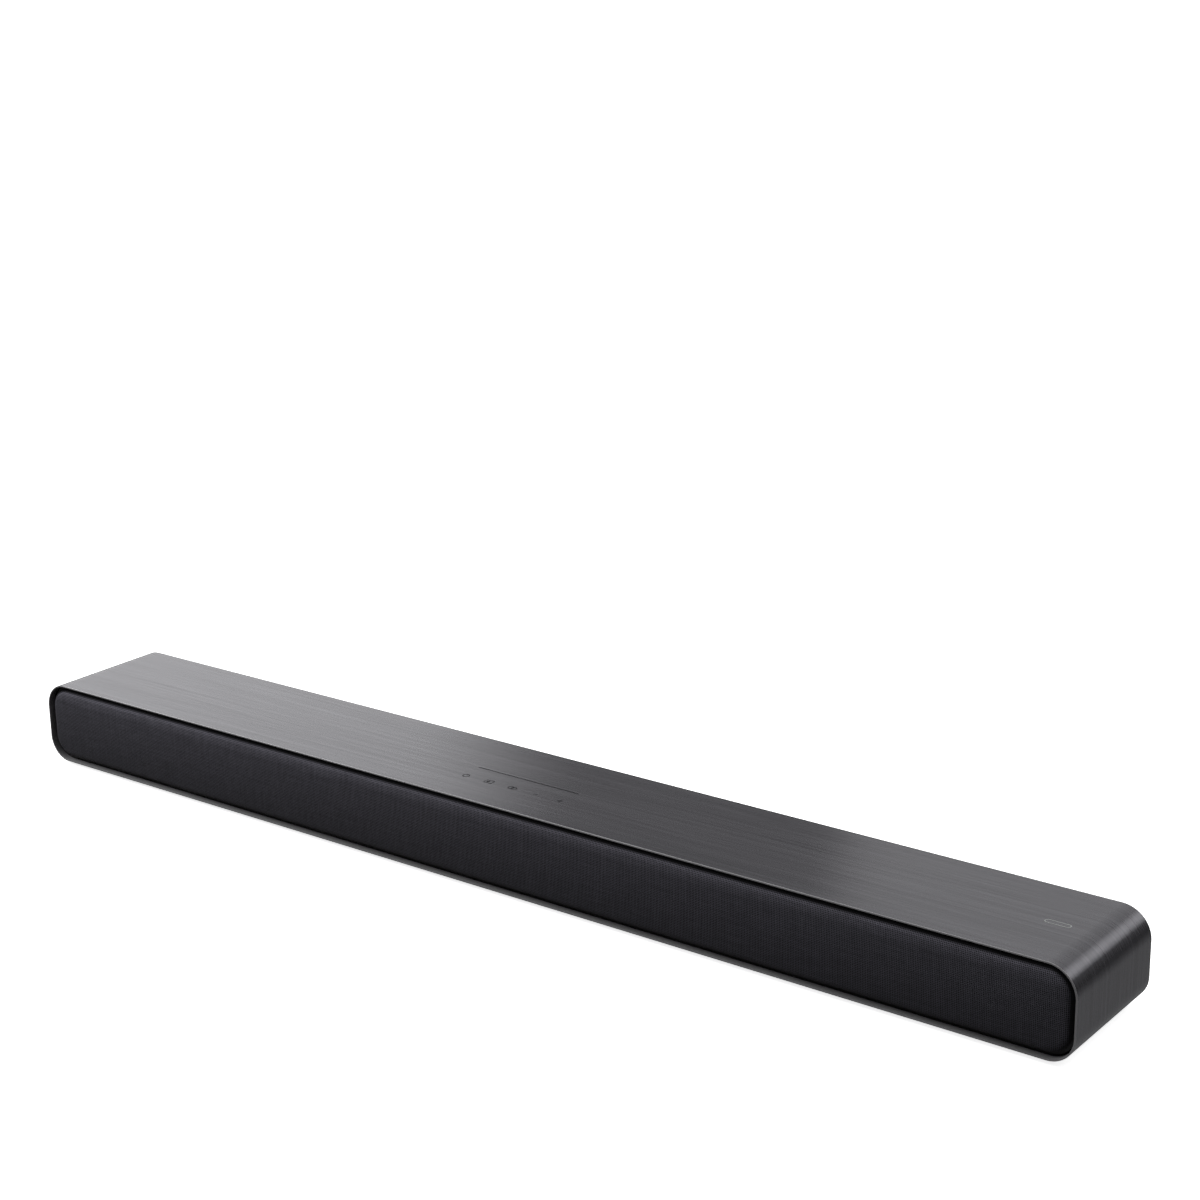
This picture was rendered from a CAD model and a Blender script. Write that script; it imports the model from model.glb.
import math

import bpy
from mathutils import Matrix, Vector
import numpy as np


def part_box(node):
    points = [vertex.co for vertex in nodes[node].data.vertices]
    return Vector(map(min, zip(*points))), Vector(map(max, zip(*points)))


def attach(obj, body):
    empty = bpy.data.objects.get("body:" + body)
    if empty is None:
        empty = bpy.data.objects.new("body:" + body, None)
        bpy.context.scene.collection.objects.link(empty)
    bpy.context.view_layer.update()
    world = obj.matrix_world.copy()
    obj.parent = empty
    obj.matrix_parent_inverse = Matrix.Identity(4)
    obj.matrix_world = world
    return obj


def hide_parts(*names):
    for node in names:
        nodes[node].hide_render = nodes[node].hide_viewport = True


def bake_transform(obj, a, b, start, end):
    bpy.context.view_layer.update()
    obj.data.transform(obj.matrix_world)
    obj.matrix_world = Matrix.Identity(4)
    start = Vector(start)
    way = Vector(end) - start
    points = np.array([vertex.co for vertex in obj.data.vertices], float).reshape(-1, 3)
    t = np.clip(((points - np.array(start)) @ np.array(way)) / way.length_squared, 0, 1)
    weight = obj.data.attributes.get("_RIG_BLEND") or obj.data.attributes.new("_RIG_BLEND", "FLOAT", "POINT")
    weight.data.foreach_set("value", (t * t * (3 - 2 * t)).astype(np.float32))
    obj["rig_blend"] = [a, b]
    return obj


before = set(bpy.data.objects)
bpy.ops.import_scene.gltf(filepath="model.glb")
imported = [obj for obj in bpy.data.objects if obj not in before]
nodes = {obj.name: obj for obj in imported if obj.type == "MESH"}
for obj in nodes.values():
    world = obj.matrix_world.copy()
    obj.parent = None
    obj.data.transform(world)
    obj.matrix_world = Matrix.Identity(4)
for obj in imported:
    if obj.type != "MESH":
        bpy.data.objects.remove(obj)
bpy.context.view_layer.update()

# ---------------------------------------------------------------------------
# Camera
# It stands to the right of the bar and a little above it, turned towards its middle.
# ---------------------------------------------------------------------------

camera_data = bpy.data.cameras.new("studio_camera")
camera_data.lens = 71.73
camera_data.sensor_width = 36
camera_data.clip_start = 0.01
camera_data.clip_end = 100
camera = bpy.data.objects.new("studio_camera", camera_data)
bpy.context.scene.collection.objects.link(camera)
camera_right = Vector((0.79942516, 0.60056857, -0.0153886))
camera_up = Vector((-0.16678139, 0.24646748, 0.95469249))
camera_back = Vector((0.57715109, -0.76063867, 0.29719596))
camera_turn = Matrix((camera_right, camera_up, camera_back)).transposed().to_4x4()
camera.matrix_world = Matrix.Translation((0.893359, -1.098204, 0.619684)) @ camera_turn
bpy.context.scene.camera = camera

# ---------------------------------------------------------------------------
# Floor and light
# A plain white floor under a pale sky, with wide soft panels: one behind each end of the
# bar that the sleeve mirrors, and one high in front that lights the cloth.
# ---------------------------------------------------------------------------

bpy.ops.object.select_all(action="DESELECT")
bpy.ops.mesh.primitive_plane_add(size=60, location=(0, 0, 0))
floor = bpy.context.object
floor.name = "studio_floor"
floor.visible_glossy = False        # the sleeve mirrors the studio's walls, not the floor
floor.visible_diffuse = False

floor_paint = bpy.data.materials.new("pale_studio_floor")
floor_paint.use_nodes = True
tree = floor_paint.node_tree
floor_shader = tree.nodes["Principled BSDF"]
floor_shader.inputs["Roughness"].default_value = 0.9
floor_shader.inputs["Specular IOR Level"].default_value = 0.1
floor_shader.inputs["Emission Color"].default_value = (1, 1, 1, 1)
floor_shader.inputs["Emission Strength"].default_value = 0.80
floor_grain = tree.nodes.new("ShaderNodeTexNoise")
floor_grain.inputs["Scale"].default_value = 3
floor_tone = tree.nodes.new("ShaderNodeMapRange")
floor_tone.inputs["To Min"].default_value = 0.93
floor_tone.inputs["To Max"].default_value = 0.95
tree.links.new(floor_grain.outputs[0], floor_tone.inputs["Value"])
tree.links.new(floor_tone.outputs["Result"], floor_shader.inputs["Base Color"])
floor.data.materials.append(floor_paint)

sky = bpy.data.worlds.new("studio_sky")
bpy.context.scene.world = sky
sky.use_nodes = True
sky.cycles.sampling_method = "NONE"
tree = sky.node_tree
background = tree.nodes["Background"]
rays = tree.nodes.new("ShaderNodeLightPath")
where = tree.nodes.new("ShaderNodeTexCoord")
height = tree.nodes.new("ShaderNodeSeparateXYZ")
tree.links.new(where.outputs["Generated"], height.inputs["Vector"])
height_share = tree.nodes.new("ShaderNodeMapRange")
height_share.inputs["From Min"].default_value = -1
tree.links.new(height.outputs["Z"], height_share.inputs["Value"])


def level_by_height(name, stops):
    """Brightness of the sky from straight down (0) through the horizon (0.5) to the zenith (1)."""
    node = tree.nodes.new("ShaderNodeValToRGB")
    node.label = name
    ramp_stops = node.color_ramp
    while len(ramp_stops.elements) < len(stops):
        ramp_stops.elements.new(0.5)
    for element, (place, level) in zip(ramp_stops.elements, stops):
        element.position = place
        element.color = (level, level, level, 1)
    tree.links.new(height_share.outputs["Result"], node.inputs["Fac"])
    return node.outputs["Color"]


lighting_level = level_by_height("lights", [(0.0, 0.06), (0.50, 0.06), (0.70, 0.15), (0.85, 1.35),
                                            (1.0, 1.6)])
mirrored_level = level_by_height("mirrored", [(0.0, 0.30), (0.32, 0.27), (0.48, 0.0), (0.56, 0.04),
                                              (0.66, 0.19), (1.0, 0.45)])
front_share = tree.nodes.new("ShaderNodeMapRange")
front_share.inputs["From Min"].default_value = -0.25
front_share.inputs["From Max"].default_value = 0.25
front_share.inputs["To Min"].default_value = 0.20
tree.links.new(height.outputs["Y"], front_share.inputs["Value"])
lighting_back = tree.nodes.new("ShaderNodeVectorMath")
lighting_back.operation = "SCALE"
tree.links.new(lighting_level, lighting_back.inputs[0])
tree.links.new(front_share.outputs["Result"], lighting_back.inputs["Scale"])
sky_mix = tree.nodes.new("ShaderNodeMix")
sky_mix.data_type = "RGBA"
tree.links.new(rays.outputs["Is Glossy Ray"], sky_mix.inputs["Factor"])
tree.links.new(lighting_back.outputs["Vector"], sky_mix.inputs[6])
tree.links.new(mirrored_level, sky_mix.inputs[7])
backdrop_mix = tree.nodes.new("ShaderNodeMix")
backdrop_mix.data_type = "RGBA"
backdrop_mix.inputs[7].default_value = (1.1, 1.1, 1.1, 1)
tree.links.new(rays.outputs["Is Camera Ray"], backdrop_mix.inputs["Factor"])
tree.links.new(sky_mix.outputs[2], backdrop_mix.inputs[6])
tree.links.new(backdrop_mix.outputs[2], background.inputs["Color"])
background.inputs["Strength"].default_value = 1.1


def soft_panel(name, at, towards, width, height, radiance):
    """A rectangular light panel of even brightness that the camera doesn't see."""
    data = bpy.data.lights.new(name, "AREA")
    data.shape = "RECTANGLE"
    data.size = width
    data.size_y = height
    data.energy = radiance * math.pi * width * height
    panel = bpy.data.objects.new(name, data)
    bpy.context.scene.collection.objects.link(panel)
    look = Vector(towards) - Vector(at)
    panel.matrix_world = Matrix.Translation(at) @ look.to_track_quat("-Z", "Y").to_matrix().to_4x4()
    panel.visible_camera = False
    return panel


soft_panel("left_panel", (-1.375, 0.86, 0.50), (0, 0, 0.10), 1.04, 0.80, 1.48)
soft_panel("dim_right_panel", (-0.20, 2.38, 1.16), (0.33, 0, 0.06), 1.80, 0.95, 0.93)
soft_panel("bright_right_panel", (1.36, 2.06, 1.17), (0.39, 0, 0.06), 1.20, 0.80, 2.35)
soft_panel("front_panel", (-1.36, -0.60, 0.98), (-0.1, 0, 0.05), 0.90, 0.70, 5.3)

scene = bpy.context.scene
scene.view_settings.view_transform = "Standard"
scene.view_settings.look = "None"

# ---------------------------------------------------------------------------
# Sleeve
# One tube of sheet with a brushed, dark grey finish. It is bent round with soft corners,
# its front rim is thinned to a lip, and its rear rim is broken with a small chamfer.
# ---------------------------------------------------------------------------

MM = 0.001
sleeve_low, sleeve_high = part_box("sleeve")
sleeve_size = sleeve_high - sleeve_low
sleeve_middle = (sleeve_low + sleeve_high) / 2
top_corner = 18.5 * MM
bottom_corner = 17 * MM
sleeve_wall = 2 * MM
lip_share = 0.5                     # the lip is half as thick as the wall
lip_depth = 5 * MM
corner_steps = 28


def only(obj):
    """Deselects everything and makes obj the one that the next operator works on."""
    if bpy.context.object and bpy.context.object.mode != "OBJECT":
        bpy.ops.object.mode_set(mode="OBJECT")
    bpy.ops.object.select_all(action="DESELECT")
    obj.select_set(True)
    bpy.context.view_layer.objects.active = obj


def pick(obj, kind, test):
    """In edit mode, selects the vertices, edges or faces of obj that pass the test."""
    bpy.ops.object.mode_set(mode="EDIT")
    bpy.ops.mesh.select_mode(type={"vertices": "VERT", "edges": "EDGE", "polygons": "FACE"}[kind])
    bpy.ops.mesh.select_all(action="DESELECT")
    bpy.ops.object.mode_set(mode="OBJECT")
    for item in getattr(obj.data, kind):
        item.select = test(item)
    bpy.ops.object.mode_set(mode="EDIT")


def apply_all(obj):
    """Applies every modifier of obj, first to last."""
    only(obj)
    for modifier in list(obj.modifiers):
        bpy.ops.object.modifier_apply(modifier=modifier.name)


def settle(obj, angle=35):
    """Puts obj's place into its mesh and shades it smooth up to an angle in degrees."""
    only(obj)
    bpy.ops.object.transform_apply(location=True, rotation=True, scale=True)
    bpy.ops.object.shade_smooth_by_angle(angle=math.radians(angle))
    weight = obj.modifiers.new("weighted", "WEIGHTED_NORMAL")
    weight.keep_sharp = True
    bpy.ops.object.modifier_apply(modifier=weight.name)


def edge_ends(obj, edge):
    a, b = edge.vertices
    return obj.data.vertices[a].co, obj.data.vertices[b].co


bpy.ops.object.select_all(action="DESELECT")
bpy.ops.mesh.primitive_cube_add(size=1, location=sleeve_middle, scale=sleeve_size)
sleeve = bpy.context.object
sleeve.name = "brushed_sleeve_shell"
bpy.ops.object.transform_apply(location=True, rotation=True, scale=True)
bpy.ops.object.mode_set(mode="EDIT")
pick(sleeve, "polygons", lambda f: abs(f.normal.y) > 0.9)
bpy.ops.mesh.delete(type="FACE")
for radius, at_top in ((top_corner, True), (bottom_corner, False)):
    def long_edge(edge):
        a, b = edge_ends(sleeve, edge)
        along = abs(a.y - b.y) > 0.01
        high = a.z > sleeve_middle.z
        return along and high == at_top and abs(abs(a.x) - sleeve_high.x) < 1e-5
    pick(sleeve, "edges", long_edge)
    bpy.ops.mesh.bevel(offset=radius, segments=corner_steps, affect="EDGES")
for depth in (lip_depth, lip_depth + 0.04 * MM):
    bpy.ops.mesh.select_all(action="SELECT")
    bpy.ops.mesh.bisect(plane_co=(0, sleeve_low.y + depth, 0), plane_no=(0, 1, 0))
bpy.ops.object.mode_set(mode="OBJECT")
wall_group = sleeve.vertex_groups.new(name="full_wall")
behind_lip = [v.index for v in sleeve.data.vertices
              if v.co.y > sleeve_low.y + lip_depth + 0.02 * MM]
wall_group.add(behind_lip, 1.0, "REPLACE")
shell = sleeve.modifiers.new("wall", "SOLIDIFY")
shell.thickness = sleeve_wall
shell.offset = -1
shell.use_even_offset = True
shell.vertex_group = wall_group.name
shell.thickness_vertex_group = lip_share
apply_all(sleeve)

front_y, back_y = sleeve_low.y, sleeve_high.y


def on_outline(point, inset):
    """True if a point of the sleeve's section is that far inside its outer outline, or less."""
    half = sleeve_size.x / 2
    radius = top_corner if point.z > sleeve_middle.z else bottom_corner
    x = abs(point.x) - (half - radius)
    z = abs(point.z - sleeve_middle.z) - (sleeve_size.z / 2 - radius)
    if x > 0 and z > 0:
        return radius - math.hypot(x, z) <= inset
    return min(radius - x, radius - z) <= inset


def rim_edges(y, outer):
    def test(edge):
        a, b = edge_ends(sleeve, edge)
        return (abs(a.y - y) < 1e-6 and abs(b.y - y) < 1e-6
                and on_outline(a, 0.1 * MM) == outer and on_outline(b, 0.1 * MM) == outer)
    return test


for y, outer, size, steps in ((front_y, True, 0.4 * MM, 4), (front_y, False, 0.2 * MM, 2),
                              (back_y, True, 0.5 * MM, 2), (back_y, False, 0.3 * MM, 2)):
    bpy.ops.object.mode_set(mode="EDIT")
    pick(sleeve, "edges", rim_edges(y, outer))
    bpy.ops.mesh.bevel(offset=size, segments=steps, affect="EDGES", clamp_overlap=True)
bpy.ops.object.mode_set(mode="OBJECT")
settle(sleeve, 40)


def finish_material(name, base=(0.5, 0.5, 0.5), roughness=0.5, metallic=0.0, **constants):
    """A material with one Principled shader. Returns it, its node tree and the shader."""
    made = bpy.data.materials.new(name)
    made.use_nodes = True
    tree = made.node_tree
    shader = tree.nodes["Principled BSDF"]
    shader.inputs["Base Color"].default_value = (*base, 1)
    shader.inputs["Roughness"].default_value = roughness
    shader.inputs["Metallic"].default_value = metallic
    for key, value in constants.items():
        shader.inputs[key.replace("_", " ")].default_value = value
    return made, tree, shader


def wire(tree, source, target):
    tree.links.new(source, target)


def new_group(name, inputs, outputs):
    """A shader node group. inputs and outputs are lists of (name, socket kind, default)."""
    group = bpy.data.node_groups.new(name, "ShaderNodeTree")
    for label, kind, default in inputs:
        socket = group.interface.new_socket(label, in_out="INPUT", socket_type="NodeSocket" + kind)
        if default is not None:
            socket.default_value = default
    for label, kind in outputs:
        group.interface.new_socket(label, in_out="OUTPUT", socket_type="NodeSocket" + kind)
    return group, group.nodes.new("NodeGroupInput"), group.nodes.new("NodeGroupOutput")


def place_group(tree, group, **values):
    node = tree.nodes.new("ShaderNodeGroup")
    node.node_tree = group
    for key, value in values.items():
        node.inputs[key.replace("_", " ")].default_value = value
    return node


def math_node(tree, operation, *values):
    """A Math node; a value is a number or the socket that it comes from."""
    node = tree.nodes.new("ShaderNodeMath")
    node.operation = operation
    for k, value in enumerate(values):
        if isinstance(value, (int, float)):
            node.inputs[k].default_value = value
        else:
            wire(tree, value, node.inputs[k])
    return node.outputs[0]


def noise_node(tree, vector, scale, detail=2.0, roughness=0.5):
    node = tree.nodes.new("ShaderNodeTexNoise")
    node.inputs["Scale"].default_value = scale
    node.inputs["Detail"].default_value = detail
    node.inputs["Roughness"].default_value = roughness
    wire(tree, vector, node.inputs["Vector"])
    return node.outputs[0]


def ramp(tree, value, low, high, low_out, high_out):
    """Maps value from low..high to low_out..high_out, clamped."""
    node = tree.nodes.new("ShaderNodeMapRange")
    node.inputs["From Min"].default_value = low
    node.inputs["From Max"].default_value = high
    node.inputs["To Min"].default_value = low_out
    node.inputs["To Max"].default_value = high_out
    wire(tree, value, node.inputs["Value"])
    return node.outputs["Result"]


def two_tones(tree, mask, first, second):
    """A colour that goes from the first to the second with the mask. Each is RGB or a socket."""
    node = tree.nodes.new("ShaderNodeMix")
    node.data_type = "RGBA"
    colour_inputs = [socket for socket in node.inputs if socket.type == "RGBA"]
    for socket, colour in zip(colour_inputs, (first, second)):
        if isinstance(colour, tuple):
            socket.default_value = (*colour, 1)
        else:
            wire(tree, colour, socket)
    wire(tree, mask, node.inputs["Factor"])
    return next(socket for socket in node.outputs if socket.type == "RGBA")


def object_place(tree):
    """The place on the object, in metres, that a pattern is laid by."""
    return tree.nodes.new("ShaderNodeTexCoord").outputs["Object"]


def bump(tree, shader, height, distance, strength=1.0):
    node = tree.nodes.new("ShaderNodeBump")
    node.inputs["Distance"].default_value = distance
    node.inputs["Strength"].default_value = strength
    wire(tree, height, node.inputs["Height"])
    wire(tree, node.outputs["Normal"], shader.inputs["Normal"])


# Hairlines run round the sleeve: long on its flat sides and fine across the depth.
hairline_group, group_in, group_out = new_group(
    "hairline_brushing",
    [("Vector", "Vector", None), ("Line Length", "Float", 12.0), ("Line Pitch", "Float", 900.0)],
    [("Fine", "Float"), ("Broad", "Float")])
stretch = hairline_group.nodes.new("ShaderNodeCombineXYZ")
wire(hairline_group, group_in.outputs["Line Length"], stretch.inputs["X"])
wire(hairline_group, group_in.outputs["Line Pitch"], stretch.inputs["Y"])
wire(hairline_group, group_in.outputs["Line Length"], stretch.inputs["Z"])
scaled = hairline_group.nodes.new("ShaderNodeVectorMath")
scaled.operation = "MULTIPLY"
wire(hairline_group, group_in.outputs["Vector"], scaled.inputs[0])
wire(hairline_group, stretch.outputs["Vector"], scaled.inputs[1])
fine = noise_node(hairline_group, scaled.outputs["Vector"], 1.0, detail=3.0, roughness=0.65)
broad = noise_node(hairline_group, scaled.outputs["Vector"], 0.72, detail=2.0, roughness=0.6)
wire(hairline_group, fine, group_out.inputs["Fine"])
wire(hairline_group, broad, group_out.inputs["Broad"])

brushed, tree, shader = finish_material("brushed_dark_sleeve", roughness=0.245, metallic=0.65,
                                        Anisotropic=0.95)
hairlines = place_group(tree, hairline_group, Line_Length=12.0, Line_Pitch=800.0)
wire(tree, object_place(tree), hairlines.inputs["Vector"])
mixed = math_node(tree, "ADD", math_node(tree, "MULTIPLY", hairlines.outputs["Fine"], 0.5),
                  math_node(tree, "MULTIPLY", hairlines.outputs["Broad"], 0.5))
tone = ramp(tree, mixed, 0.30, 0.70, 0.0, 1.0)
wire(tree, two_tones(tree, tone, (0.096, 0.094, 0.104), (0.171, 0.168, 0.183)),
     shader.inputs["Base Color"])
wire(tree, ramp(tree, hairlines.outputs["Fine"], 0.3, 0.7, 0.242, 0.249), shader.inputs["Roughness"])
bump(tree, shader, mixed, 0.008 * MM, 0.045)
across = tree.nodes.new("ShaderNodeCombineXYZ")
across.inputs["Y"].default_value = 1
wire(tree, across.outputs["Vector"], shader.inputs["Tangent"])
sleeve.data.materials.append(brushed)

# The lip is cut after brushing, so its rim and its inner face are paler bare metal.
cut_rim, tree, shader = finish_material("cut_lip_metal", roughness=0.42, metallic=0.35)
cut_marks = place_group(tree, hairline_group, Line_Length=30.0, Line_Pitch=2500.0)
wire(tree, object_place(tree), cut_marks.inputs["Vector"])
wire(tree, two_tones(tree, cut_marks.outputs["Fine"], (0.36, 0.355, 0.37), (0.48, 0.475, 0.49)),
     shader.inputs["Base Color"])
wire(tree, ramp(tree, cut_marks.outputs["Broad"], 0.3, 0.7, 0.36, 0.48), shader.inputs["Roughness"])
bump(tree, shader, cut_marks.outputs["Fine"], 0.02 * MM, 0.4)
sleeve.data.materials.append(cut_rim)
rim_depth = 0.36 * MM
for face in sleeve.data.polygons:
    rim_face = face.center.y < front_y + rim_depth
    lip_floor = face.center.y < front_y + lip_depth and not on_outline(face.center, 0.5 * MM)
    if rim_face or lip_floor:
        face.material_index = 1
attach(sleeve, "enclosure")
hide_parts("sleeve")

# ---------------------------------------------------------------------------
# Cloth front
# One stretched sheet of woven acoustic cloth, glued round the edge of the grille frame.
# It is flat in the middle with a slight crown, and its edge rolls back over the frame.
# ---------------------------------------------------------------------------

cloth_low, cloth_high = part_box("grille_cloth")
cloth_middle = (cloth_low + cloth_high) / 2
cloth_half = (cloth_high - cloth_low) / 2
cloth_corner = 15 * MM
roll_width = 4.5 * MM
roll_depth = cloth_high.y - cloth_low.y
crown = 0.4 * MM
cloth_thickness = 0.4 * MM
thread_pitch = 1.08 * MM


def cloth_profile():
    """(distance in from the edge, depth behind the face, length along the cloth) per ring."""
    rings = []
    steps = 12
    shoulder = roll_depth - crown
    for k in range(steps + 1):
        a = math.pi / 2 * k / steps
        rings.append([roll_width * (1 - math.cos(a)), crown + shoulder * (1 - math.sin(a))])
    inner = cloth_half.z - 0.4 * MM
    for k in range(1, 10):
        d = roll_width + (inner - roll_width) * k / 9
        share = (inner - d) / (inner - roll_width)
        rings.append([d, crown * share * share])
    length = 0.0
    out = [(rings[0][0], rings[0][1], 0.0)]
    for a, b in zip(rings, rings[1:]):
        length += math.dist(a, b)
        out.append((b[0], b[1], length))
    return out


def ring_points(inset, radius):
    """Points of a rounded rectangle inset by that much, with the way out at each point."""
    half_x, half_z = cloth_half.x - inset, cloth_half.z - inset
    r = max(radius - inset, 0.0)
    points = []
    along, up, corner = 160, 12, 12
    for quarter in range(4):
        sx, sz = ((1, 1), (-1, 1), (-1, -1), (1, -1))[quarter]
        centre = Vector((sx * (half_x - r), sz * (half_z - r)))
        for k in range(corner + 1):
            a = math.pi / 2 * (quarter + k / corner)
            way = Vector((math.cos(a), math.sin(a)))
            points.append((centre + way * r, way))
        end_a = math.pi / 2 * (quarter + 1)
        way = Vector((math.cos(end_a), math.sin(end_a)))
        nx, nz = ((-1, 1), (-1, -1), (1, -1), (1, 1))[quarter]
        start = centre + way * r
        stop = Vector((nx * (half_x - r), nz * (half_z - r))) + way * r
        count = along if quarter % 2 == 0 else up
        for k in range(1, count):
            points.append((start.lerp(stop, k / count), way))
    return points


profile = cloth_profile()
total = profile[-1][2]
verts, flat_places, faces = [], [], []
for inset, depth, length in profile:
    ring = ring_points(inset, cloth_corner)
    for point, way in ring:
        verts.append((cloth_middle.x + point.x, cloth_low.y + depth, cloth_middle.z + point.y))
        spread = (total - length) - (profile[-1][0] - inset)
        flat_places.append((point.x + way.x * spread, point.y + way.y * spread))
ring_size = len(ring)
for level in range(len(profile) - 1):
    a, b = level * ring_size, (level + 1) * ring_size
    for k in range(ring_size):
        n = (k + 1) % ring_size
        faces.append((a + k, b + k, b + n, a + n))
last = (len(profile) - 1) * ring_size
faces.append(tuple(last + k for k in range(ring_size)))
cloth_mesh = bpy.data.meshes.new("woven_cloth_front")
cloth_mesh.from_pydata(verts, [], faces)
cloth = bpy.data.objects.new("woven_cloth_front", cloth_mesh)
bpy.context.scene.collection.objects.link(cloth)
cut = cloth_mesh.uv_layers.new(name="cut")
for corner in cloth_mesh.loops:
    cut.data[corner.index].uv = flat_places[corner.vertex_index]
only(cloth)
bpy.ops.object.mode_set(mode="EDIT")
bpy.ops.mesh.select_all(action="SELECT")
bpy.ops.mesh.remove_doubles(threshold=1e-6)
bpy.ops.mesh.normals_make_consistent(inside=False)
bpy.ops.object.mode_set(mode="OBJECT")
if sum(f.normal.y * f.area for f in cloth_mesh.polygons) > 0:
    cloth_mesh.flip_normals()
body_of_cloth = cloth.modifiers.new("cloth_thickness", "SOLIDIFY")
body_of_cloth.thickness = cloth_thickness
body_of_cloth.offset = -1
apply_all(cloth)
bpy.ops.object.shade_smooth_by_angle(angle=math.radians(50))

# Plain weave: round threads pass over and under each other, and leave a hole at each corner.
weave_group, group_in, group_out = new_group(
    "plain_weave", [("Vector", "Vector", None), ("Pitch", "Float", 0.001)],
    [("Height", "Float"), ("Hole", "Float")])
spread_out = weave_group.nodes.new("ShaderNodeSeparateXYZ")
wire(weave_group, group_in.outputs["Vector"], spread_out.inputs["Vector"])
turns = [math_node(weave_group, "DIVIDE", spread_out.outputs[axis], group_in.outputs["Pitch"])
         for axis in ("X", "Y")]
waves = [math_node(weave_group, "SINE", math_node(weave_group, "MULTIPLY", t, math.pi))
         for t in turns]
rounds = [math_node(weave_group, "POWER", math_node(weave_group, "ABSOLUTE", w), 0.7)
          for w in waves]
cross = math_node(weave_group, "MULTIPLY", waves[0], waves[1])
upright = math_node(weave_group, "MULTIPLY", rounds[0],
                    math_node(weave_group, "MULTIPLY_ADD", cross, 0.35, 0.65))
sideways = math_node(weave_group, "MULTIPLY", rounds[1],
                     math_node(weave_group, "MULTIPLY_ADD", cross, -0.35, 0.65))
top = math_node(weave_group, "MAXIMUM", upright, sideways)
wire(weave_group, top, group_out.inputs["Height"])
plain = [math_node(weave_group, "ABSOLUTE", w) for w in waves]
widest = math_node(weave_group, "MAXIMUM", plain[0], plain[1])
wire(weave_group, ramp(weave_group, widest, 0.76, 0.88, 1.0, 0.0), group_out.inputs["Hole"])

woven, tree, shader = finish_material("woven_black_cloth", roughness=0.75,
                                      Specular_IOR_Level=0.2, Sheen_Weight=0.1,
                                      Sheen_Roughness=0.4)
cut_place = tree.nodes.new("ShaderNodeUVMap")
cut_place.uv_map = "cut"
weave = place_group(tree, weave_group, Pitch=thread_pitch)
wire(tree, cut_place.outputs["UV"], weave.inputs["Vector"])
fuzz = noise_node(tree, cut_place.outputs["UV"], 2600, detail=2.0)
cut_height = tree.nodes.new("ShaderNodeSeparateXYZ")
wire(tree, cut_place.outputs["UV"], cut_height.inputs["Vector"])
stretch_tone = math_node(
    tree, "ADD", ramp(tree, cut_height.outputs["Y"], -cloth_half.z, cloth_half.z, 0.22, 0.50),
    ramp(tree, cut_height.outputs["Y"], 0.6 * cloth_half.z, cloth_half.z, 0.0, 0.50))
depth_back = tree.nodes.new("ShaderNodeSeparateXYZ")
wire(tree, object_place(tree), depth_back.inputs["Vector"])
glue_shade = ramp(tree, depth_back.outputs["Y"], cloth_low.y + 0.8 * MM, cloth_low.y + 1.8 * MM,
                  1.0, 0.05)
thread_mask = math_node(tree, "MULTIPLY", math_node(tree, "MULTIPLY_ADD", fuzz, 0.3, math_node(
    tree, "SUBTRACT", stretch_tone, 0.15)), glue_shade)
# no two threads are quite the same thickness, so faint lines run both ways in the cloth
thread_lots = []
for lot_scale in ((600, 40, 1), (40, 600, 1)):
    lot_place = tree.nodes.new("ShaderNodeVectorMath")
    lot_place.operation = "MULTIPLY"
    lot_place.inputs[1].default_value = lot_scale
    wire(tree, cut_place.outputs["UV"], lot_place.inputs[0])
    thread_lots.append(noise_node(tree, lot_place.outputs["Vector"], 1.0, detail=1.0))
thread_lot = math_node(tree, "ADD", thread_lots[0], thread_lots[1])
thread_mask = math_node(tree, "MULTIPLY", thread_mask,
                        math_node(tree, "MULTIPLY_ADD", thread_lot, 0.5, 0.5))
thread_tone = two_tones(tree, thread_mask, (0.006, 0.006, 0.007), (0.415, 0.402, 0.487))
hole_tone = (0.0015, 0.0015, 0.002)
wire(tree, two_tones(tree, weave.outputs["Hole"], thread_tone, hole_tone),
     shader.inputs["Base Color"])
bump(tree, shader, weave.outputs["Height"], 0.25 * MM, 0.8)
cloth.data.materials.append(woven)
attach(cloth, "enclosure")
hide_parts("grille_cloth")

# ---------------------------------------------------------------------------
# Moulded shell parts
# Baffle, grille frame, rear panel, its two cups, chassis tray and speaker boxes are injection
# moulded black ABS with a fine spark texture. They click and screw together inside the sleeve.
# ---------------------------------------------------------------------------

speckle_group, group_in, group_out = new_group(
    "speckle", [("Vector", "Vector", None), ("Grain", "Float", 3000.0), ("Patch", "Float", 60.0)],
    [("Fine", "Float"), ("Broad", "Float")])
for label, socket, detail in (("Fine", "Grain", 2.0), ("Broad", "Patch", 4.0)):
    speckle = speckle_group.nodes.new("ShaderNodeTexNoise")
    speckle.inputs["Detail"].default_value = detail
    wire(speckle_group, group_in.outputs["Vector"], speckle.inputs["Vector"])
    wire(speckle_group, group_in.outputs[socket], speckle.inputs["Scale"])
    wire(speckle_group, speckle.outputs[0], group_out.inputs[label])


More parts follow.
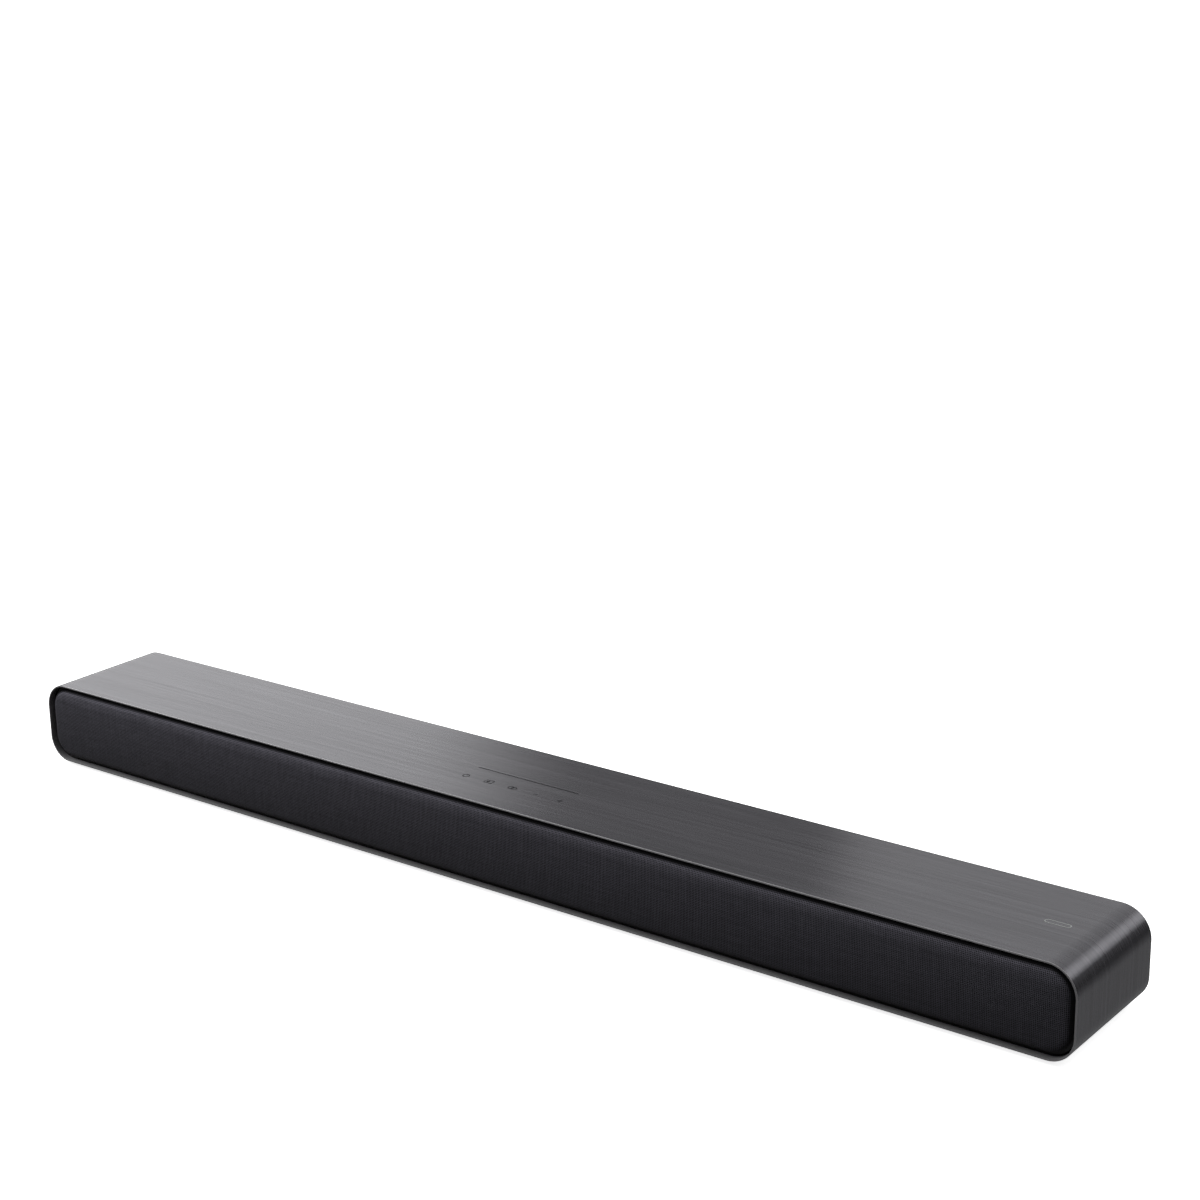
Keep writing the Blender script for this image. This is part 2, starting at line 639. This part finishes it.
def speckled(name, dark, light, grain, lift, rough=(0.45, 0.6), metallic=0.0, patch=60.0,
             **constants):
    """A finish whose colour and gloss drift over the piece, with a fine grain of that height."""
    made, tree, shader = finish_material(name, roughness=rough[0], metallic=metallic, **constants)
    skin = place_group(tree, speckle_group, Grain=float(grain), Patch=float(patch))
    wire(tree, object_place(tree), skin.inputs["Vector"])
    both = math_node(tree, "ADD", math_node(tree, "MULTIPLY", skin.outputs["Fine"], 0.7),
                     math_node(tree, "MULTIPLY", skin.outputs["Broad"], 0.3))
    wire(tree, two_tones(tree, ramp(tree, both, 0.35, 0.65, 0, 1), dark, light),
         shader.inputs["Base Color"])
    wire(tree, ramp(tree, skin.outputs["Broad"], 0.3, 0.7, *rough), shader.inputs["Roughness"])
    bump(tree, shader, skin.outputs["Fine"], lift, 0.6)
    return made


def refinish(finish, *names):
    """Gives CAD parts their finish."""
    for name in names:
        for place in nodes[name].material_slots:
            place.material = finish


spark_plastic = speckled("spark_textured_abs", (0.009, 0.009, 0.010), (0.020, 0.020, 0.022),
                         2600, 0.03 * MM, (0.48, 0.66), Specular_IOR_Level=0.4)
refinish(spark_plastic, "front_baffle", "grille_frame", "rear_panel", "connector_cup", "power_cup",
         "chassis_tray", "left_speaker_box", "right_speaker_box")

# ---------------------------------------------------------------------------
# Printed marks
# Touch symbols and guide line are near-black ink, screen printed on the sleeve; the maker's
# place is a plain pale outlined pill. Ink is glossier than the brushing under it.
# ---------------------------------------------------------------------------

refinish(speckled("dark_print_ink", (0.004, 0.004, 0.005), (0.010, 0.010, 0.011), 5000,
                  0.004 * MM, (0.70, 0.80), patch=300.0, Specular_IOR_Level=0.1),
         "touch_symbols", "guide_line")
refinish(speckled("pale_print_ink", (0.26, 0.275, 0.27), (0.36, 0.375, 0.365), 5000,
                  0.004 * MM, (0.4, 0.5), patch=300.0), "blank_badge")

# ---------------------------------------------------------------------------
# Feet
# Four soft rubber pads, moulded with a rounded rim and a shallow dish that grips the table.
# Their backs are glued to the underside of the sleeve.
# ---------------------------------------------------------------------------

feet_low, feet_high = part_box("rubber_feet")
foot_length, foot_width = 30 * MM, 12 * MM
foot_height = feet_high.z - feet_low.z
foot_rim = 1.6 * MM
foot_dish = 0.5 * MM
foot_dish_wall = 0.3 * MM
foot_edge = 0.35 * MM
foot_pads = []
for x in (feet_low.x + foot_length / 2, feet_high.x - foot_length / 2):
    for y in (feet_low.y + foot_width / 2, feet_high.y - foot_width / 2):
        if foot_pads:
            pad = foot_pads[0].copy()
            pad.data = foot_pads[0].data.copy()
            bpy.context.scene.collection.objects.link(pad)
            pad.location = (x - first_x, y - first_y, 0)
            only(pad)
            bpy.ops.object.transform_apply(location=True, rotation=True, scale=True)
        else:
            first_x, first_y = x, y
            bpy.ops.object.select_all(action="DESELECT")
            bpy.ops.mesh.primitive_cube_add(size=1, location=(x, y, foot_height / 2),
                                            scale=(foot_length, foot_width, foot_height))
            pad = bpy.context.object
            bpy.ops.object.transform_apply(location=True, rotation=True, scale=True)
            bpy.ops.object.mode_set(mode="EDIT")

            def upright_edge(edge):
                a, b = edge_ends(pad, edge)
                return abs(a.z - b.z) > 0.5 * foot_height
            pick(pad, "edges", upright_edge)
            bpy.ops.mesh.bevel(offset=foot_width / 2 * 0.999, segments=10, affect="EDGES")
            bpy.ops.mesh.select_all(action="SELECT")
            bpy.ops.mesh.remove_doubles(threshold=0.02 * MM)
            bpy.ops.object.mode_set(mode="OBJECT")
            pick(pad, "polygons", lambda f: f.normal.z < -0.9)
            bpy.ops.mesh.inset(thickness=foot_rim)
            bpy.ops.mesh.extrude_region_move(TRANSFORM_OT_translate={"value": (0, 0, foot_dish)})
            bpy.ops.mesh.inset(thickness=foot_dish_wall)
            bpy.ops.object.mode_set(mode="OBJECT")

            def outer_rim(edge):
                a, b = edge_ends(pad, edge)
                return a.z < 1e-6 and b.z < 1e-6
            pick(pad, "edges", outer_rim)
            bpy.ops.mesh.bevel(offset=foot_edge, segments=3, affect="EDGES")
            bpy.ops.object.mode_set(mode="OBJECT")
            settle(pad, 40)
        pad.name = f"rubber_foot_{len(foot_pads) + 1}"
        foot_pads.append(pad)
foot_rubber = speckled("matt_foot_rubber", (0.012, 0.012, 0.012), (0.024, 0.024, 0.024),
                       3500, 0.02 * MM, (0.7, 0.85))
for pad in foot_pads:
    pad.data.materials.append(foot_rubber)
    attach(pad, "enclosure")
    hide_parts("rubber_feet")

# ---------------------------------------------------------------------------
# Foam and rubber seals
# Closed-cell foam rings seal the drivers and the boxes to the baffle, and two soft rubber
# grommets seal the leads where they go into the boxes.
# ---------------------------------------------------------------------------

refinish(speckled("closed_cell_foam", (0.015, 0.015, 0.016), (0.05, 0.05, 0.052), 1800,
                  0.12 * MM, (0.85, 0.95), patch=400.0), "foam_seals")
refinish(speckled("soft_grommet_rubber", (0.012, 0.012, 0.012), (0.022, 0.022, 0.022), 3000,
                  0.01 * MM, (0.55, 0.7)), "lead_grommets")

# ---------------------------------------------------------------------------
# Driver surrounds and spiders
# Each surround is a moulded rubber half roll between basket and cone; each spider is a
# resin-dipped cloth disc pressed into waves. Both flex as the cone moves.
# ---------------------------------------------------------------------------

driver_height = 31.2 * MM
flange_front = -38.4 * MM
ring_steps = 72
surround_wall = 0.36 * MM
spider_wall = 0.26 * MM


def spun_ring(name, driver_x, profile, thickness):
    """A ring of sheet: a profile of (radius, depth behind the flange) spun about the driver's axis."""
    mesh = bpy.data.meshes.new(name)
    points = [(driver_x + r * MM, flange_front + d * MM, driver_height) for r, d in profile]
    mesh.from_pydata(points, [(k, k + 1) for k in range(len(points) - 1)], [])
    ring = bpy.data.objects.new(name, mesh)
    bpy.context.scene.collection.objects.link(ring)
    only(ring)
    bpy.ops.object.mode_set(mode="EDIT")
    bpy.ops.mesh.select_all(action="SELECT")
    bpy.ops.mesh.spin(steps=ring_steps, angle=2 * math.pi, axis=(0, 1, 0),
                      center=(driver_x, 0, driver_height))
    bpy.ops.mesh.select_all(action="SELECT")
    bpy.ops.mesh.remove_doubles(threshold=0.001 * MM)
    bpy.ops.mesh.normals_make_consistent(inside=False)
    bpy.ops.object.mode_set(mode="OBJECT")
    wall = ring.modifiers.new("sheet", "SOLIDIFY")
    wall.thickness = thickness
    wall.offset = 0
    wall.use_even_offset = True
    apply_all(ring)
    settle(ring, 50)
    return ring


def flex_between(ring, driver_x, cone_body, inner, outer):
    """The ring's outer edge stays with the basket and its inner edge goes with the cone."""
    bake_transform(ring, "enclosure", cone_body, start=(driver_x, 0, driver_height),
             end=(driver_x + outer * MM, 0, driver_height))
    share = ring.data.attributes["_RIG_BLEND"]
    for v in ring.data.vertices:
        r = math.hypot(v.co.x - driver_x, v.co.z - driver_height) / MM
        t = min(max((outer - r) / (outer - inner), 0), 1)
        share.data[v.index].value = t * t * (3 - 2 * t)


roll_middle, roll_radius = 18.9, 1.6
surround_profile = [(15.85, -0.2), (16.6, -0.2)]
for k in range(15):
    a = math.pi * (1 - k / 14)
    surround_profile.append((roll_middle + roll_radius * math.cos(a),
                             -0.2 - roll_radius * math.sin(a)))
surround_profile += [(21.6, -0.2), (22.7, -0.2)]
spider_start, spider_width, spider_depth = 10.6, 6.2, 8.55
spider_waves, wave_height = 4, 0.35
spider_profile = [(10.3, 9.2), (10.32, 8.75), (spider_start, spider_depth)]
for k in range(1, 33):
    wave = math.sin(2 * math.pi * spider_waves * k / 32)
    spider_profile.append((spider_start + spider_width * k / 32, spider_depth + wave_height * wave))
spider_profile += [(17.6, 8.7), (18.3, 8.7)]

roll_rubber = speckled("surround_rubber", (0.010, 0.010, 0.011), (0.020, 0.020, 0.021), 2500,
                       0.01 * MM, (0.45, 0.6))
spider_cloth, tree, shader = finish_material("dipped_spider_cloth", roughness=0.8)
threads = place_group(tree, weave_group, Pitch=0.45 * MM)
turned = tree.nodes.new("ShaderNodeMapping")
turned.inputs["Rotation"].default_value = (math.pi / 2, 0, 0)
wire(tree, object_place(tree), turned.inputs["Vector"])
wire(tree, turned.outputs["Vector"], threads.inputs["Vector"])
wire(tree, two_tones(tree, threads.outputs["Hole"], (0.42, 0.27, 0.10), (0.16, 0.09, 0.03)),
     shader.inputs["Base Color"])
bump(tree, shader, threads.outputs["Height"], 0.08 * MM, 0.7)

for side, driver_x in (("left", -300 * MM), ("right", 300 * MM)):
    cone_body = side + "_cone_assembly"
    surround = spun_ring(side + "_rubber_surround", driver_x, surround_profile, surround_wall)
    surround.data.materials.append(roll_rubber)
    flex_between(surround, driver_x, cone_body, 17.3, 20.5)
    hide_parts(side + "_surround")
    spider = spun_ring(side + "_pressed_spider", driver_x, spider_profile, spider_wall)
    spider.data.materials.append(spider_cloth)
    flex_between(spider, driver_x, cone_body, 10.8, 16.8)
    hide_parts(side + "_spider")

# ---------------------------------------------------------------------------
# Driver parts
# Pressed steel baskets, coated paper cones and caps, copper voice coils, and a motor of
# zinc-plated yoke, ground ferrite ring and top plate. Leads solder to tags on a fibre strip.
# ---------------------------------------------------------------------------

refinish(speckled("painted_basket_steel", (0.014, 0.014, 0.015), (0.028, 0.028, 0.030), 1500,
                  0.01 * MM, (0.32, 0.45), metallic=0.2), "left_basket", "right_basket")
refinish(speckled("coated_paper_cone", (0.020, 0.020, 0.022), (0.052, 0.051, 0.050), 900,
                  0.06 * MM, (0.5, 0.7), patch=250.0), "left_cone", "right_cone")
refinish(speckled("pressed_paper_cap", (0.016, 0.016, 0.018), (0.040, 0.040, 0.040), 1100,
                  0.04 * MM, (0.35, 0.5), patch=250.0), "left_dust_cap", "right_dust_cap")


def ridged(name, across, scale, wander, groove, crest, lift, strength, roughness, metallic):
    """A finish with parallel ridges that follow each other along one axis of the object."""
    made, tree, shader = finish_material(name, roughness=roughness, metallic=metallic)
    ridges = tree.nodes.new("ShaderNodeTexWave")
    ridges.bands_direction = across
    ridges.inputs["Scale"].default_value = scale
    ridges.inputs["Distortion"].default_value = wander
    wire(tree, object_place(tree), ridges.inputs["Vector"])
    wire(tree, two_tones(tree, ridges.outputs["Fac"], groove, crest), shader.inputs["Base Color"])
    bump(tree, shader, ridges.outputs["Fac"], lift, strength)
    return made


refinish(ridged("wound_copper_wire", "Y", 1300, 0.4, (0.32, 0.12, 0.05), (0.78, 0.36, 0.20),
                0.05 * MM, 0.8, roughness=0.3, metallic=1.0),
         "left_voice_coil", "right_voice_coil")
refinish(speckled("zinc_plated_steel", (0.45, 0.45, 0.44), (0.62, 0.62, 0.60), 900, 0.01 * MM,
                  (0.28, 0.42), metallic=1.0, patch=120.0), "driver_yokes", "driver_top_plates")
refinish(speckled("ground_ferrite", (0.030, 0.030, 0.034), (0.070, 0.070, 0.075), 700, 0.02 * MM,
                  (0.35, 0.5), metallic=0.3, patch=200.0), "driver_magnets")
refinish(speckled("terminal_fibre", (0.16, 0.08, 0.035), (0.30, 0.17, 0.08), 1400, 0.03 * MM,
                  (0.5, 0.65), patch=300.0), "driver_terminals")

# ---------------------------------------------------------------------------
# Screws and inserts
# Black-zinc screws hold drivers, boxes, baffle and rear panel; plain zinc ones hold boards.
# Two turned brass inserts in the rear panel take a wall bracket.
# ---------------------------------------------------------------------------

refinish(speckled("black_zinc_screw", (0.020, 0.020, 0.022), (0.045, 0.045, 0.048), 2000,
                  0.006 * MM, (0.28, 0.4), metallic=0.8, patch=500.0),
         "speaker_screws", "baffle_screws", "rear_screws")
refinish(speckled("bright_zinc_screw", (0.5, 0.5, 0.5), (0.66, 0.66, 0.65), 1600, 0.006 * MM,
                  (0.25, 0.35), metallic=1.0, patch=500.0), "board_screws")
refinish(ridged("turned_brass", "Y", 1500, 1.5, (0.52, 0.36, 0.12), (0.74, 0.56, 0.24),
                0.02 * MM, 0.5, roughness=0.28, metallic=1.0), "wall_mount_inserts")

# ---------------------------------------------------------------------------
# Boards and what is soldered to them
# Glass-fibre boards under green solder mask carry the amplifier, the power supply, the touch
# pads, the wireless module and the infrared sensor. The chips are moulded epoxy.
# ---------------------------------------------------------------------------

solder_mask, tree, shader = finish_material("green_solder_mask", roughness=0.32,
                                            Coat_Weight=0.35, Coat_Roughness=0.2)
tracks = tree.nodes.new("ShaderNodeTexBrick")
tracks.offset = 0.37
tracks.inputs["Scale"].default_value = 160
tracks.inputs["Mortar Size"].default_value = 0.035
tracks.inputs["Color1"].default_value = (0.010, 0.075, 0.035, 1)
tracks.inputs["Color2"].default_value = (0.014, 0.090, 0.042, 1)
tracks.inputs["Mortar"].default_value = (0.030, 0.150, 0.070, 1)
wire(tree, object_place(tree), tracks.inputs["Vector"])
wire(tree, tracks.outputs["Color"], shader.inputs["Base Color"])
bump(tree, shader, tracks.outputs["Fac"], 0.035 * MM, 0.6)
refinish(solder_mask, "main_board", "power_board", "touch_board", "sensor_board",
         "wireless_module")
refinish(speckled("epoxy_chip", (0.012, 0.012, 0.013), (0.028, 0.028, 0.030), 2600, 0.01 * MM,
                  (0.5, 0.62), patch=300.0), "board_chips")
refinish(speckled("shrink_sleeved_cans", (0.020, 0.025, 0.055), (0.035, 0.042, 0.090), 600,
                  0.01 * MM, (0.22, 0.35), patch=200.0), "board_capacitors", "power_capacitors")
refinish(speckled("wound_ferrite_blocks", (0.030, 0.030, 0.032), (0.075, 0.072, 0.070), 900,
                  0.03 * MM, (0.45, 0.6), patch=250.0), "board_inductors")
refinish(speckled("winding_tape", (0.42, 0.30, 0.05), (0.56, 0.43, 0.10), 500, 0.02 * MM,
                  (0.25, 0.38), patch=150.0), "transformer")
extruded, tree, shader = finish_material("extruded_alloy", roughness=0.35, metallic=1.0)
die_lines = place_group(tree, hairline_group, Line_Length=1500.0, Line_Pitch=20.0)
wire(tree, object_place(tree), die_lines.inputs["Vector"])
wire(tree, two_tones(tree, die_lines.outputs["Fine"], (0.48, 0.48, 0.49), (0.66, 0.66, 0.67)),
     shader.inputs["Base Color"])
bump(tree, shader, die_lines.outputs["Fine"], 0.03 * MM, 0.5)
refinish(extruded, "heat_sink")
refinish(speckled("smoked_infrared_lens", (0.022, 0.006, 0.010), (0.036, 0.012, 0.018), 400,
                  0.002 * MM, (0.08, 0.14), patch=90.0), "ir_receiver")

# ---------------------------------------------------------------------------
# Sockets
# Nickel-plated steel shells for the two data sockets, moulded bodies for the optical socket,
# the jack and the mains inlet, with plated pins and a sprung flap behind the optical opening.
# ---------------------------------------------------------------------------

refinish(speckled("nickel_plated_shell", (0.50, 0.49, 0.47), (0.66, 0.65, 0.62), 1500, 0.008 * MM,
                  (0.2, 0.34), metallic=1.0, patch=150.0), "hdmi_socket", "usb_socket")
refinish(speckled("moulded_socket_body", (0.010, 0.010, 0.011), (0.020, 0.020, 0.021), 2200,
                  0.01 * MM, (0.36, 0.5), patch=200.0),
         "optical_socket", "aux_socket", "power_inlet", "optical_shutter")
refinish(speckled("drawn_spring_wire", (0.40, 0.40, 0.40), (0.58, 0.58, 0.57), 2500, 0.003 * MM,
                  (0.22, 0.32), metallic=1.0, patch=600.0), "shutter_spring")
refinish(speckled("plated_inlet_pin", (0.58, 0.57, 0.55), (0.74, 0.73, 0.70), 1500, 0.003 * MM,
                  (0.14, 0.24), metallic=1.0, patch=300.0), "inlet_pins")

# ---------------------------------------------------------------------------
# Leads and ribbon
# Soft insulated leads run from the boards to both drivers and to the mains inlet, and a flat
# polyester ribbon with parallel conductors goes up to the touch board.
# ---------------------------------------------------------------------------

refinish(speckled("soft_lead_insulation", (0.20, 0.012, 0.012), (0.34, 0.028, 0.026), 1200,
                  0.01 * MM, (0.4, 0.55), patch=120.0), "speaker_leads", "power_lead")
refinish(ridged("polyester_ribbon", "X", 320, 0, (0.74, 0.74, 0.70), (0.38, 0.38, 0.40),
                0.03 * MM, 0.5, roughness=0.3, metallic=0), "touch_ribbon")
